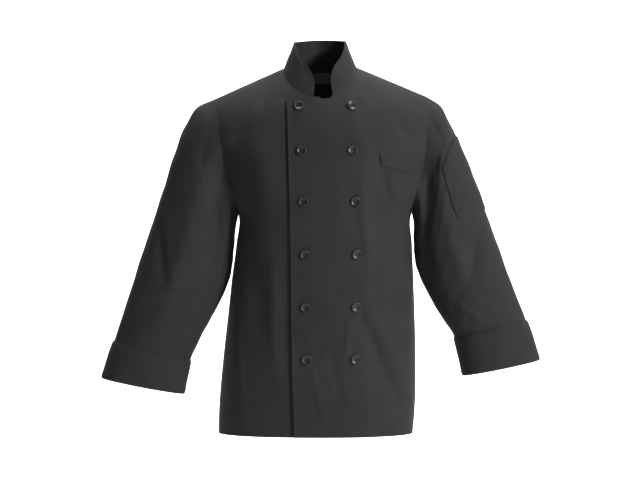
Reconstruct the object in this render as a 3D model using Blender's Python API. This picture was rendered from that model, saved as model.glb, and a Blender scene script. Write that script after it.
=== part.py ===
"""Double-breasted chef jacket, standing in its worn, hollow form.

Metres, +Z up. The origin is at the base of the neck, midway between the two points where the
shoulder seams meet the collar. +X is the wearer's left, and the front faces -Y. Each piece of cloth
is a closed wall: a grid of outer points worked out from the sizes below, and the same grid moved in.
"""

import bmesh
import bpy
import numpy as np

# Walls and clearances
CLOTH = 0.0016
COLLAR_CLOTH = 0.0024
CUFF_CLOTH = 0.0024
PATCH_CLOTH = 0.0014
LABEL_CLOTH = 0.0010
SEAM_GAP = 0.0003
PATCH_GAP = 0.0018
LABEL_GAP = 0.0007
LAP_LIFT = CLOTH + 0.0021

# Body: height of the hem, the neck points and the slope of the shoulders
HEM_Z = -0.745
NECK_HALF_WIDTH = 0.075
NECK_POINT_Z = 0.002
SHOULDER_SLOPE = 0.4375
SHOULDER_TILT = 0.0143
NECK_ROUNDING = 0.020
FRONT_NECK_DROP = 0.0655
BACK_NECK_RISE = 0.006
BODY_FULLNESS = 2.3
YOKE_Z = -0.25
FRONT_SHOULDER_POWER = 0.62
BACK_SHOULDER_POWER = 0.36

# One row for each height: half widths on the wearer's right and left, depths of front and back.
# Above the underarm the half widths run on outside the armholes.
BODY_COLUMNS = ("z", "right", "left", "front", "back")
BODY_ROWS = (
    (-0.745, 0.2080, 0.1900, 0.119, 0.108),
    (-0.700, 0.2070, 0.1940, 0.120, 0.107),
    (-0.600, 0.1990, 0.1960, 0.121, 0.104),
    (-0.500, 0.1880, 0.1940, 0.120, 0.102),
    (-0.430, 0.1805, 0.1915, 0.121, 0.104),
    (-0.360, 0.1715, 0.1885, 0.124, 0.109),
    (-0.295, 0.1680, 0.1880, 0.127, 0.114),
    (-0.260, 0.1860, 0.2080, 0.127, 0.116),
    (-0.217, 0.2000, 0.2190, 0.127, 0.117),
    (-0.150, 0.2380, 0.2440, 0.126, 0.117),
    (-0.090, 0.2560, 0.2570, 0.126, 0.117),
    (0.000, 0.2620, 0.2620, 0.126, 0.117),
)

# Armhole: the half width of the body where the sleeve is set in, from the underarm to the tip
ARMHOLE_COLUMNS = ("z", "right", "left")
ARMHOLE_ROWS = (
    (-0.295, 0.1680, 0.1880),
    (-0.260, 0.1730, 0.1940),
    (-0.217, 0.1850, 0.2060),
    (-0.150, 0.2010, 0.2155),
    (-0.099, 0.2075, 0.2175),
    (-0.066, 0.2170, 0.2170),
)
UNDERARM_Z = -0.295

# Lap: the free edge of the left front, and the hidden edge of the right front under it
LAP_COLUMNS = ("z", "lap_edge", "under_edge")
LAP_ROWS = (
    (-0.745, -0.0505, 0.085),
    (-0.600, -0.0555, 0.085),
    (-0.350, -0.0587, 0.085),
    (-0.200, -0.0625, 0.085),
    (-0.110, -0.0650, 0.060),
    (-0.060, -0.0668, 0.040),
)
LAP_TOP_Z = -0.0687
LAP_FADE = 0.030
UNDER_TOP_DROP = 0.004

# Grid of the body panels
ROWS_BELOW = 12
ROWS_ABOVE = 10
COLUMNS_SIDE = 8
NECK_ANGLES = (0, 28, 50, 70, 79, 90)
LAP_COLUMNS_PAST_MIDDLE = 5

# Soft folds of the body: a line from one place to another, its half width, and its height,
# which is negative for a trough
FOLD_COLUMNS = ("x0", "z0", "x1", "z1", "width", "height")
FRONT_FOLDS = (
    (-0.090, -0.010, -0.125, -0.085, 0.016, -0.0040),
    (-0.128, -0.150, -0.095, -0.300, 0.030, 0.0050),
    (0.078, -0.230, 0.100, -0.390, 0.012, 0.0035),
    (0.118, -0.200, 0.150, -0.300, 0.014, -0.0040),
    (0.075, -0.480, 0.165, -0.700, 0.016, -0.0045),
    (0.110, -0.470, 0.185, -0.640, 0.020, 0.0035),
    (-0.150, -0.330, -0.120, -0.560, 0.024, -0.0040),
    (0.188, -0.240, 0.180, -0.380, 0.010, -0.0035),
)
BACK_FOLDS = (
    (-0.110, -0.140, -0.150, -0.330, 0.022, -0.0045),
    (0.115, -0.150, 0.155, -0.350, 0.020, -0.0040),
    (-0.060, -0.330, -0.095, -0.640, 0.026, -0.0050),
    (0.040, -0.300, 0.075, -0.600, 0.030, 0.0050),
    (0.125, -0.420, 0.110, -0.700, 0.018, -0.0040),
)

# Sleeves: one ring a row. The outer and inner ends of the ring seen from the front, its half depth
# and how far forward its middle lies. x is the distance from the middle of the body.
SLEEVE_COLUMNS = ("along", "outer_x", "outer_z", "inner_x", "inner_z", "half_depth", "forward")
RIGHT_SLEEVE_ROWS = (
    (0.00, 0.2160, -0.0633, 0.1680, -0.2950, 0.062, 0.002),
    (0.05, 0.2490, -0.0780, 0.1740, -0.3150, 0.064, 0.002),
    (0.12, 0.2730, -0.1125, 0.1775, -0.3400, 0.066, 0.003),
    (0.24, 0.2965, -0.1710, 0.1800, -0.3800, 0.066, 0.005),
    (0.40, 0.3280, -0.2700, 0.1850, -0.4320, 0.064, 0.009),
    (0.57, 0.3625, -0.3760, 0.2080, -0.4850, 0.060, 0.014),
    (0.74, 0.3950, -0.4800, 0.2400, -0.5430, 0.054, 0.020),
    (0.87, 0.4205, -0.5580, 0.2640, -0.5980, 0.049, 0.025),
    (1.00, 0.4440, -0.6320, 0.2775, -0.6640, 0.045, 0.029),
)
LEFT_SLEEVE_ROWS = (
    (0.00, 0.2170, -0.0567, 0.1880, -0.2950, 0.062, 0.002),
    (0.05, 0.2450, -0.0740, 0.1915, -0.3130, 0.064, 0.002),
    (0.12, 0.2645, -0.1080, 0.1930, -0.3340, 0.066, 0.003),
    (0.24, 0.2925, -0.1720, 0.1945, -0.3650, 0.066, 0.005),
    (0.40, 0.3260, -0.2560, 0.1975, -0.4080, 0.064, 0.009),
    (0.57, 0.3600, -0.3520, 0.2175, -0.4550, 0.060, 0.014),
    (0.74, 0.3950, -0.4500, 0.2460, -0.5050, 0.054, 0.020),
    (0.87, 0.4210, -0.5160, 0.2735, -0.5500, 0.049, 0.025),
    (1.00, 0.4465, -0.5950, 0.2915, -0.6270, 0.045, 0.029),
)
CAP_REACH = 0.30
SLEEVE_STATIONS = (0.0, 0.035, 0.08, 0.14, 0.21, 0.29, 0.38, 0.47, 0.56, 0.65, 0.74, 0.81, 0.872, 0.94, 1.0)
CUFF_FIRST_STATION = 12
CUFF_OVERHANG = 0.0020

# Folds of the sleeves: from one place along and round the sleeve to another, the half width in
# degrees round it, and the height. 0 degrees is the outer edge, and 90 the front.
SLEEVE_FOLD_COLUMNS = ("along0", "angle0", "along1", "angle1", "width", "height")
RIGHT_SLEEVE_FOLDS = (
    (0.06, 105, 0.62, 150, 16, -0.0070),
    (0.20, 78, 0.80, 88, 16, 0.0045),
    (0.35, 262, 0.75, 285, 18, -0.0050),
    (0.45, 40, 0.62, 75, 14, -0.0035),
)
LEFT_SLEEVE_FOLDS = (
    (0.06, 120, 0.62, 152, 16, -0.0065),
    (0.16, 88, 0.70, 96, 15, 0.0040),
    (0.30, 268, 0.70, 250, 18, -0.0050),
    (0.50, 60, 0.66, 95, 14, -0.0035),
)

# Collar
COLLAR_HEIGHT = 0.0565
COLLAR_TOP_WIDTH = 0.70
COLLAR_TOP_DEPTH = 0.82
COLLAR_END_RADIUS = 0.030
COLLAR_ROWS = (0.0, 0.35, 0.7, 1.0)

# Buttons: two columns down the lap, each button's middle
BUTTON_RADIUS = 0.0100
BUTTON_THICKNESS = 0.0032
BUTTON_DISH = 0.0008
BUTTON_RIM = 0.0022
BUTTON_SEAT = 0.0007
BUTTON_SIDES = 20
BUTTON_COLUMNS = ("z", "right_x", "left_x")
BUTTON_ROWS = (
    (-0.0825, -0.0428, 0.0626),
    (-0.1735, -0.0368, 0.0645),
    (-0.2745, -0.0328, 0.0706),
    (-0.3800, -0.0298, 0.0726),
    (-0.4850, -0.0288, 0.0716),
    (-0.5890, -0.0268, 0.0706),
)

# Welt of the breast pocket: corners on the left front, as x and z
WELT_CORNERS = {
    "inner_top": (0.1190, -0.1760),
    "inner_foot": (0.1225, -0.2040),
    "outer_top": (0.1985, -0.1880),
    "outer_foot": (0.1970, -0.2190),
}

# Sleeve pocket and its label: places along and round the left sleeve
POCKET_ANGLES = (75, 54, 36, 18, 0, -18, -36)
POCKET_TOP_FRONT = 0.150
POCKET_TOP_BACK = 0.196
POCKET_FOOT_FRONT = 0.390
POCKET_FOOT_BACK = 0.483
SLEEVE_LABEL = {"along": (0.108, 0.132), "angle": (84, 72, 64)}

# Label inside the back neck
NECK_LABEL = {"x": (-0.011, 0.022), "z": (-0.024, -0.002)}

CLOTH_COLOUR = (0.022, 0.021, 0.021, 1.0)
BUTTON_COLOUR = (0.012, 0.012, 0.013, 1.0)
LABEL_COLOUR = (0.080, 0.095, 0.115, 1.0)


def table(columns, rows):
    """The rows of a table as one array for each named column."""
    return dict(zip(columns, np.array(rows, float).T))


BODY = table(BODY_COLUMNS, BODY_ROWS)
ARMHOLE = table(ARMHOLE_COLUMNS, ARMHOLE_ROWS)
LAP = table(LAP_COLUMNS, LAP_ROWS)
SLEEVES = {
    "right": table(SLEEVE_COLUMNS, RIGHT_SLEEVE_ROWS),
    "left": table(SLEEVE_COLUMNS, LEFT_SLEEVE_ROWS),
}
SIGN = {"right": -1.0, "left": 1.0}


def smooth(stations, values, at):
    """A smooth curve through the values: cubic, with its slopes from the neighbouring rows."""
    at = np.clip(at, stations[0], stations[-1])
    slopes = np.gradient(values, stations)
    row = np.clip(np.searchsorted(stations, at, side="right") - 1, 0, len(stations) - 2)
    length = stations[row + 1] - stations[row]
    part = (at - stations[row]) / length
    start, end = values[row], values[row + 1]
    rise = (3 - 2 * part) * part**2
    swing = part * (1 - part) * length
    return start + (end - start) * rise + swing * ((1 - part) * slopes[row] - part * slopes[row + 1])


def unit(vectors):
    return vectors / np.maximum(np.linalg.norm(vectors, axis=-1, keepdims=True), 1e-12)


def fade(value):
    """1 at 0 and 0 at 1, level at both ends."""
    value = np.clip(value, 0.0, 1.0)
    return 1 - value * value * (3 - 2 * value)


def shoulder_z(x):
    """Height of the shoulder line over x, rounded over the middle of the neck."""
    reach = np.sqrt(x**2 + NECK_ROUNDING**2)
    neck_reach = np.sqrt(NECK_HALF_WIDTH**2 + NECK_ROUNDING**2)
    return NECK_POINT_Z + SHOULDER_SLOPE * (neck_reach - reach) + SHOULDER_TILT * x


def half_width(x, z):
    """Half width of the oval that the body follows at height z, on the side that x lies on."""
    return np.where(x < 0, smooth(BODY["z"], BODY["right"], z), smooth(BODY["z"], BODY["left"], z))


def panel_half_width(x, z):
    """Half width of the panels at height z: the side seam, and the armhole above the underarm."""
    in_armhole = np.where(
        x < 0, smooth(ARMHOLE["z"], ARMHOLE["right"], z), smooth(ARMHOLE["z"], ARMHOLE["left"], z)
    )
    return np.where(z > UNDERARM_Z, in_armhole, half_width(x, z))


def fold_height(x, z, folds):
    """Height of the folds at a place: each is a soft ridge or trough along its own line."""
    height = np.zeros_like(x)
    for fold in folds:
        named = dict(zip(FOLD_COLUMNS, fold))
        run = np.array([named["x1"] - named["x0"], named["z1"] - named["z0"]])
        length = np.hypot(*run)
        away_x, away_z = x - named["x0"], z - named["z0"]
        along = (away_x * run[0] + away_z * run[1]) / length**2
        across = (away_x * run[1] - away_z * run[0]) / length
        ends = fade(np.abs(along - 0.5) * 2 - 0.35)
        height = height + named["height"] * ends * np.exp(-((across / named["width"]) ** 2))
    return height


def body_surface(x, z, front, lift=0.0):
    """Points of the body's front or back: an oval at each height, which closes in to the shoulder."""
    width = half_width(x, z)
    depth = smooth(BODY["z"], BODY["front" if front else "back"], z)
    ratio = np.clip(np.abs(x) / width, 0.0, 1.0)
    oval = (1 - ratio**BODY_FULLNESS) ** (1 / BODY_FULLNESS)
    climb = np.clip((z - YOKE_Z) / (shoulder_z(x) - YOKE_Z), 0.0, 1.0)
    closing = (1 - climb**2) ** (FRONT_SHOULDER_POWER if front else BACK_SHOULDER_POWER)
    inside = np.clip(depth * oval * closing / 0.030, 0.0, 1.0)
    out = depth * oval * closing + inside * fold_height(x, z, FRONT_FOLDS if front else BACK_FOLDS)
    out = out + lift
    return np.stack([x, -out if front else out, z], axis=-1)


def neckline_z(x, front):
    """Height of the neckline over x, and of the shoulder seam beyond the neck points."""
    round_part = np.sqrt(np.clip(1 - (x / NECK_HALF_WIDTH) ** 2, 0.0, 1.0))
    turn = -FRONT_NECK_DROP * round_part if front else BACK_NECK_RISE * round_part**2
    inside = NECK_POINT_Z + SHOULDER_TILT * x + turn
    return np.where(np.abs(x) < NECK_HALF_WIDTH, inside, shoulder_z(x))


def side_columns():
    """Shares of the half width from the side edge to the neck point, closer where the oval turns."""
    neck_share = NECK_HALF_WIDTH / ARMHOLE["left"][-1]
    angles = np.linspace(np.pi / 2, np.arcsin(neck_share), COLUMNS_SIDE + 1)
    return np.sin(angles)


def neck_columns():
    """Shares of the half width from the neck point to the middle, on an even round neckline."""
    neck_share = NECK_HALF_WIDTH / ARMHOLE["left"][-1]
    return neck_share * np.cos(np.radians(NECK_ANGLES[1:]))


def row_shares():
    """Shares of the height from the hem to the top: even to the underarm, then round the armhole."""
    tip = shoulder_z(ARMHOLE["left"][-1])
    underarm = (UNDERARM_Z - HEM_Z) / (tip - HEM_Z)
    below = np.linspace(0.0, underarm, ROWS_BELOW + 1)
    turn = (1 - np.cos(np.linspace(0.0, np.pi, ROWS_ABOVE + 1))) / 2
    above = underarm + (1 - underarm) * turn
    return np.concatenate([below, above[1:]])


def panel_points(columns, tops, front, lift):
    """Grid of a body panel: rows up from the hem, one column for each share of the half width.

    Both side edges meet the underarm at the same row. columns holds, for each column, a share of
    the half width or a function of z that gives x. tops holds each column's upper end.
    """
    side_tip = shoulder_z(np.sign(tops["side"]) * ARMHOLE["left"][-1])
    underarm = (UNDERARM_Z - HEM_Z) / (side_tip - HEM_Z)
    shares = row_shares()
    first = shares[ROWS_BELOW]
    shares = np.where(
        shares <= first, shares * underarm / first, 1 - (1 - shares) * (1 - underarm) / (1 - first)
    )
    z = HEM_Z + (np.array(tops["z"])[None, :] - HEM_Z) * shares[:, None]
    x = np.stack([column(z[:, number]) for number, column in enumerate(columns)], axis=1)
    return body_surface(x, z, front, lift(x, z))


def share_column(share):
    """A column at a fixed share of the panels' half width."""
    return lambda z: share * panel_half_width(np.sign(share) + z * 0, z)


def under_lap_lift(x, z):
    """How far the left front stands off the body, where it lies on the right front."""
    edge = smooth(LAP["z"], LAP["under_edge"], z) + 0.004
    return LAP_LIFT * fade((x - edge) / LAP_FADE)


def no_lift(x, z):
    return np.zeros_like(x)


def column_top(share, front):
    """x and z of the upper end of a column at a fixed share of the half width."""
    x = share * ARMHOLE["left"][-1]
    return float(neckline_z(np.array(x), front))


def back_grid():
    shares = np.concatenate([side_columns(), neck_columns()])
    shares = np.concatenate([-shares, shares[-2::-1]])
    tops = {"side": 1.0, "z": [column_top(share, False) for share in shares]}
    return panel_points([share_column(share) for share in shares], tops, False, no_lift)


def edge_columns(edge, count):
    """Columns spread evenly from the middle to the free edge named in the lap's table."""

    def between(part):
        return lambda z: part * smooth(LAP["z"], LAP[edge], z)

    return [between(part) for part in np.linspace(0.0, 1.0, count + 1)[1:]]


def right_front_grid():
    """From the right side seam to the edge hidden under the lap."""
    shares = -np.concatenate([side_columns(), neck_columns()])
    columns = [share_column(share) for share in shares] + edge_columns("under_edge", LAP_COLUMNS_PAST_MIDDLE)
    tops = [column_top(share, True) for share in shares]
    edge_x = np.linspace(0.0, LAP["under_edge"][-1], LAP_COLUMNS_PAST_MIDDLE + 1)[1:]
    tops += list(neckline_z(edge_x, True) - UNDER_TOP_DROP)
    return panel_points(columns, {"side": -1.0, "z": tops}, True, no_lift)


def left_front_grid():
    """From the left side seam to the lap's edge, whose top runs level past the collar's end."""
    shares = np.concatenate([side_columns(), neck_columns()])
    columns = [share_column(share) for share in shares] + edge_columns("lap_edge", LAP_COLUMNS_PAST_MIDDLE)
    collar_end = NECK_ANGLES.index(70)
    level = len(side_columns()) + collar_end
    tops = [column_top(share, True) for share in shares[:level]]
    tops += [LAP_TOP_Z] * (len(columns) - level)
    return panel_points(columns, {"side": 1.0, "z": tops}, True, under_lap_lift)


def grid_normals(grid, towards, ring=False):
    """Unit normals of a grid of points, turned to the side that towards gives at each point."""
    if ring:
        wrapped = np.concatenate([grid[:, -1:], grid, grid[:, :1]], axis=1)
        across = (wrapped[:, 2:] - wrapped[:, :-2]) / 2
    else:
        across = np.gradient(grid, axis=1)
    along = np.gradient(grid, axis=0)
    normal = unit(np.cross(across, along))
    facing = np.sum(normal * towards, axis=-1, keepdims=True)
    return normal * np.where(facing < 0, -1.0, 1.0)


def body_normals(grid, front):
    """Outward normals of a body panel, with those that it shares with its neighbours at the seams."""
    middle = grid * np.array([0.35, 0.0, 0.0])
    towards = grid - middle + np.array([0.0, -0.02 if front else 0.02, 0.02])
    return grid_normals(grid, towards)


def shoulder_normal(side):
    """The normal shared along the shoulder seam: square to its slope, with no forward part."""
    x = np.array([SIGN[side] * 0.14, SIGN[side] * 0.15])
    rise = (shoulder_z(x[1]) - shoulder_z(x[0])) / (x[1] - x[0])
    return unit(np.array([-rise, 0.0, 1.0]))


def set_seam_normals(normals, side, column, seam_columns):
    """Gives a panel the shared normals of its side seam and of its shoulder seam."""
    normals[:ROWS_BELOW, column] = np.array([SIGN[side], 0.0, 0.0])
    normals[ROWS_BELOW, column] = np.array([SIGN[side], 0.0, 0.0])
    normals[-1, seam_columns] = shoulder_normal(side)


def armhole_loop(side, front, front_column, back, back_column):
    """The armhole as a ring: the tip, down the front to the underarm, and up the back."""
    down = slice(None, ROWS_BELOW - 1, -1)
    front_edge = front[down, front_column]
    back_edge = back[ROWS_BELOW + 1 : -1, back_column]
    return np.concatenate([front_edge, back_edge])


def ring_offsets(side, along, angles):
    """Points of the sleeve's ovals: stations along the sleeve by angles round it."""
    rows = SLEEVES[side]
    value = {name: smooth(rows["along"], rows[name], along) for name in SLEEVE_COLUMNS[1:]}
    sign = SIGN[side]
    outer = np.stack([sign * value["outer_x"], -value["forward"], value["outer_z"]], axis=-1)
    inner = np.stack([sign * value["inner_x"], -value["forward"], value["inner_z"]], axis=-1)
    middle = (outer + inner) / 2
    reach = (outer - inner) / 2
    turn = np.radians(angles)
    forward = np.array([0.0, -1.0, 0.0])
    return (
        middle[:, None]
        + np.cos(turn)[None, :, None] * reach[:, None]
        + (np.sin(turn)[None, :] * value["half_depth"][:, None])[..., None] * forward
    )


def sleeve_folds(side, along, angles):
    """Height of the sleeve's folds at each station and angle."""
    height = np.zeros((len(along), len(angles)))
    for fold in RIGHT_SLEEVE_FOLDS if side == "right" else LEFT_SLEEVE_FOLDS:
        named = dict(zip(SLEEVE_FOLD_COLUMNS, fold))
        part = (along - named["along0"]) / (named["along1"] - named["along0"])
        path = named["angle0"] + (named["angle1"] - named["angle0"]) * part
        away = (angles[None, :] - path[:, None] + 180) % 360 - 180
        ends = fade(np.abs(part - 0.5) * 2 - 0.35)
        height += named["height"] * ends[:, None] * np.exp(-((away / named["width"]) ** 2))
    return height


def sleeve_grid(side, loop):
    """Outer points of a sleeve: its ovals, drawn onto the armhole's own ring at the top."""
    along = np.array(SLEEVE_STATIONS)
    angles = np.arange(2 * ROWS_ABOVE) * 180.0 / ROWS_ABOVE
    grid = ring_offsets(side, along, angles)
    correction = loop - grid[0]
    grid = grid + fade(along / CAP_REACH)[:, None, None] * correction
    normals = sleeve_normals(grid)
    return grid + sleeve_folds(side, along, angles)[..., None] * normals


def sleeve_normals(grid):
    """Outward normals of a sleeve, away from the middle of each of its rings."""
    middle = grid.mean(axis=1, keepdims=True)
    return grid_normals(grid, grid - middle, ring=True)


def seam_directions(loop, body_normal, sleeve_normal):
    """Inward directions of the body's and the sleeve's edges at the armhole, and the way between.

    Both edges share a mitre, and where the cloth folds back on itself under the arm each turns
    to its own side, so that the two edges face each other across the seam and never cross.
    """
    mitre = unit(body_normal + sleeve_normal)
    fold = np.maximum(0.0, -np.sum(body_normal * sleeve_normal, axis=-1, keepdims=True))
    body_in = -unit(mitre + fold * body_normal)
    sleeve_in = -unit(mitre + fold * sleeve_normal)
    tangent = unit(np.roll(loop, -1, axis=0) - np.roll(loop, 1, axis=0))
    outwards = unit(np.cross(tangent, mitre))
    return body_in, sleeve_in, outwards


def add_mesh(name, points, faces, material):
    """A named object from points and faces, with its faces turned outwards."""
    mesh = bpy.data.meshes.new(name)
    mesh.from_pydata(points.tolist(), [], [list(map(int, face)) for face in faces])
    shaped = bmesh.new()
    shaped.from_mesh(mesh)
    bmesh.ops.recalc_face_normals(shaped, faces=shaped.faces)
    bmesh.ops.triangulate(shaped, faces=shaped.faces)
    shaped.to_mesh(mesh)
    shaped.free()
    mesh.shade_smooth()
    mesh.set_sharp_from_angle(angle=np.radians(50))
    mesh.materials.append(material)
    piece = bpy.data.objects.new(name, mesh)
    bpy.context.scene.collection.objects.link(piece)
    return piece


def wall(name, outer, inner, material, ring=False):
    """A closed wall between two grids of points, open at its ends where it is a ring."""
    rows, columns = outer.shape[:2]
    points = np.concatenate([outer.reshape(-1, 3), inner.reshape(-1, 3)])
    index = np.arange(rows * columns).reshape(rows, columns)
    if ring:
        index = np.concatenate([index, index[:, :1]], axis=1)
    quads = np.stack([index[:-1, :-1], index[:-1, 1:], index[1:, 1:], index[1:, :-1]], axis=-1)
    quads = quads.reshape(-1, 4)
    within = rows * columns
    faces = [quads, quads[:, ::-1] + within]
    edges = [(index[0, 1:], index[0, :-1]), (index[-1, :-1], index[-1, 1:])]
    if not ring:
        edges += [(index[:-1, 0], index[1:, 0]), (index[1:, -1], index[:-1, -1])]
    for start, end in edges:
        faces.append(np.stack([start, end, end + within, start + within], axis=-1))
    return add_mesh(name, points, np.concatenate(faces), material)


def on_grid(grid, rows, columns):
    """Points of a faceted grid at fractional rows and columns."""
    row = np.clip(np.floor(rows).astype(int), 0, grid.shape[0] - 2)
    column = np.clip(np.floor(columns).astype(int), 0, grid.shape[1] - 2)
    down, over = (rows - row)[..., None], (columns - column)[..., None]
    upper = grid[row, column] * (1 - over) + grid[row, column + 1] * over
    lower = grid[row + 1, column] * (1 - over) + grid[row + 1, column + 1] * over
    return upper * (1 - down) + lower * down


def patch(name, grid, normals, rows, columns, gap, thickness, material):
    """A flat piece sewn on a panel: the panel's own points, moved out."""
    base = on_grid(grid, rows, columns)
    away = unit(on_grid(normals, rows, columns))
    return wall(name, base + away * (gap + thickness), base + away * gap, material)


def panel_place(grid, x, z):
    """Fractional row and column of a place on a body panel, found by steps on its faceted grid."""
    row, column = grid.shape[0] / 2, grid.shape[1] / 2
    target = np.array([x, z])
    for _ in range(40):
        here = on_grid(grid, np.array(row), np.array(column))[[0, 2]]
        row_step = on_grid(grid, np.array(row + 0.01), np.array(column))[[0, 2]] - here
        column_step = on_grid(grid, np.array(row), np.array(column + 0.01))[[0, 2]] - here
        steps = np.linalg.solve(np.stack([row_step, column_step], axis=1) / 0.01, target - here)
        row = float(np.clip(row + 0.7 * steps[0], 0, grid.shape[0] - 1.02))
        column = float(np.clip(column + 0.7 * steps[1], 0, grid.shape[1] - 1.02))
    return row, column


def collar_grid(back, left_front, right_front):
    """Outer points of the stand collar, on the edges of the neck from one front to the other."""
    side = len(side_columns()) - 1
    neck = len(NECK_ANGLES) - 1
    right_end = NECK_ANGLES.index(79)
    left_end = NECK_ANGLES.index(70)
    right_part = right_front[-1, side : side + right_end + 1][::-1]
    back_part = back[-1, side + 1 : side + 2 * neck]
    left_part = left_front[-1, side : side + left_end + 1]
    base = np.concatenate([right_part, back_part, left_part])
    base = base + np.array([0.0, 0.0, SEAM_GAP + 0.0002])
    top = base * np.array([COLLAR_TOP_WIDTH, COLLAR_TOP_DEPTH, 1.0])
    walk = np.concatenate([[0.0], np.cumsum(np.linalg.norm(np.diff(base, axis=0), axis=1))])
    from_end = np.minimum(walk, walk[-1] - walk)
    into = np.clip(1 - from_end / COLLAR_END_RADIUS, 0.0, 1.0)
    height = COLLAR_HEIGHT - COLLAR_END_RADIUS * (1 - np.sqrt(1 - into**2))
    share = np.array(COLLAR_ROWS)[:, None] * (height / COLLAR_HEIGHT)[None, :]
    lean = (top - base)[None] * share[..., None]
    lift = np.array([0.0, 0.0, COLLAR_HEIGHT]) * share[..., None]
    return base[None] + lean + lift


def add_button(name, place, normal, material):
    """A round rimmed button: a turned profile, its back on the cloth and its axis out of it."""
    profile = (
        (0.0, 0.0),
        (BUTTON_RADIUS * 0.93, 0.0),
        (BUTTON_RADIUS, BUTTON_THICKNESS * 0.45),
        (BUTTON_RADIUS * 0.96, BUTTON_THICKNESS),
        (BUTTON_RADIUS - BUTTON_RIM, BUTTON_THICKNESS),
        (BUTTON_RADIUS - BUTTON_RIM * 1.4, BUTTON_THICKNESS - BUTTON_DISH),
        (0.0, BUTTON_THICKNESS - BUTTON_DISH),
    )
    turns = np.arange(BUTTON_SIDES) * 2 * np.pi / BUTTON_SIDES
    rings = np.array(profile[1:-1])
    ring_points = np.stack(
        [
            rings[:, :1] * np.cos(turns),
            rings[:, :1] * np.sin(turns),
            np.repeat(rings[:, 1:], BUTTON_SIDES, axis=1),
        ],
        axis=-1,
    ).reshape(-1, 3)
    points = np.concatenate([ring_points, [[0, 0, profile[0][1]], [0, 0, profile[-1][1]]]])
    index = np.arange(len(rings) * BUTTON_SIDES).reshape(len(rings), BUTTON_SIDES)
    after = np.roll(index, -1, axis=1)
    sides = np.stack([index[:-1], after[:-1], after[1:], index[1:]], axis=-1).reshape(-1, 4)
    foot, crown = len(ring_points), len(ring_points) + 1
    faces = [list(face) for face in sides]
    faces += [[after[0, turn], index[0, turn], foot] for turn in range(BUTTON_SIDES)]
    faces += [[index[-1, turn], after[-1, turn], crown] for turn in range(BUTTON_SIDES)]
    first = unit(np.cross([0.0, 0.0, 1.0], normal))
    frame = np.stack([first, np.cross(normal, first), normal])
    return add_mesh(name, points @ frame + place + normal * BUTTON_SEAT, faces, material)


def material(name, colour, roughness):
    made = bpy.data.materials.new(name)
    made.use_nodes = True
    shader = made.node_tree.nodes["Principled BSDF"]
    shader.inputs["Base Color"].default_value = colour
    shader.inputs["Roughness"].default_value = roughness
    shader.inputs["Metallic"].default_value = 0.0
    made.diffuse_color = colour
    return made


def add_sleeve(side, grid, inner, cloth):
    """The sleeve, and the turned-back cuff that is made from its last rings, moved out."""
    wall(f"{side}_sleeve", grid, inner, cloth, ring=True)
    normals = sleeve_normals(grid)[CUFF_FIRST_STATION:]
    band = grid[CUFF_FIRST_STATION:].copy()
    band[-1] += unit(grid[-1] - grid[-2]) * CUFF_OVERHANG
    base = band + normals * (SEAM_GAP + 0.0002)
    wall(f"{side}_cuff", base + normals * CUFF_CLOTH, base, cloth, ring=True)


def add_body_and_sleeves(cloth):
    """Back, fronts and sleeves, whose edges share their normals at each seam."""
    grids = {"back": back_grid(), "right": right_front_grid(), "left": left_front_grid()}
    normals = {name: body_normals(grid, name != "back") for name, grid in grids.items()}
    seam = len(side_columns())
    back_edge = {"right": 0, "left": -1}
    back_seam = {"right": slice(0, seam), "left": slice(-seam, None)}
    inward, sleeves = {}, {}
    for side in ("right", "left"):
        set_seam_normals(normals[side], side, 0, slice(0, seam))
        set_seam_normals(normals["back"], side, back_edge[side], back_seam[side])
    for name in grids:
        inward[name] = -normals[name]
    for side in ("right", "left"):
        loop = armhole_loop(side, grids[side], 0, grids["back"], back_edge[side])
        body_normal = armhole_loop(side, normals[side], 0, normals["back"], back_edge[side])
        grid = sleeve_grid(side, loop)
        body_in, sleeve_in, outwards = seam_directions(loop, body_normal, sleeve_normals(grid)[0])
        if np.sum(outwards * (grid[1] - grid[0])) < 0:
            outwards = -outwards
        grid[0] = loop + outwards * SEAM_GAP
        sleeve_inward = -sleeve_normals(grid)
        sleeve_inward[0] = sleeve_in
        sleeves[side] = grid
        add_sleeve(side, grid, grid + sleeve_inward * CLOTH, cloth)
        front_rows = slice(None, ROWS_BELOW - 1, -1)
        inward[side][front_rows, 0] = body_in[: ROWS_ABOVE + 1]
        inward["back"][ROWS_BELOW + 1 : -1, back_edge[side]] = body_in[ROWS_ABOVE + 1 :]
        inward["back"][ROWS_BELOW, back_edge[side]] = body_in[ROWS_ABOVE]
        inward["back"][-1, back_edge[side]] = body_in[0]
    for name, grid in grids.items():
        apart = np.array([0.0, 0.5 if name == "back" else -0.5, 0.0]) * SEAM_GAP
        grid[: ROWS_BELOW + 1, 0] += apart
        grid[-1, :seam] += apart
        if name == "back":
            grid[: ROWS_BELOW + 1, -1] += apart
            grid[-1, -seam:] += apart
    wall("back_panel", grids["back"], grids["back"] + inward["back"] * CLOTH, cloth)
    wall("right_front", grids["right"], grids["right"] + inward["right"] * CLOTH, cloth)
    wall("left_front", grids["left"], grids["left"] + inward["left"] * CLOTH, cloth)
    return grids, normals, sleeves


def add_collar(grids, cloth):
    grid = collar_grid(grids["back"], grids["left"], grids["right"])
    normals = grid_normals(grid, grid * np.array([1.0, 1.0, 0.0]))
    wall("collar", grid, grid - normals * COLLAR_CLOTH, cloth)


def add_buttons(grids, normals, plastic):
    for number, row in enumerate(BUTTON_ROWS, 1):
        named = dict(zip(BUTTON_COLUMNS, row))
        for side in ("right", "left"):
            at = panel_place(grids["left"], named[f"{side}_x"], named["z"])
            at = (np.array(at[0]), np.array(at[1]))
            place = on_grid(grids["left"], *at)
            normal = unit(on_grid(normals["left"], *at))
            add_button(f"button_{side}_{number}", place, normal, plastic)


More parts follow.
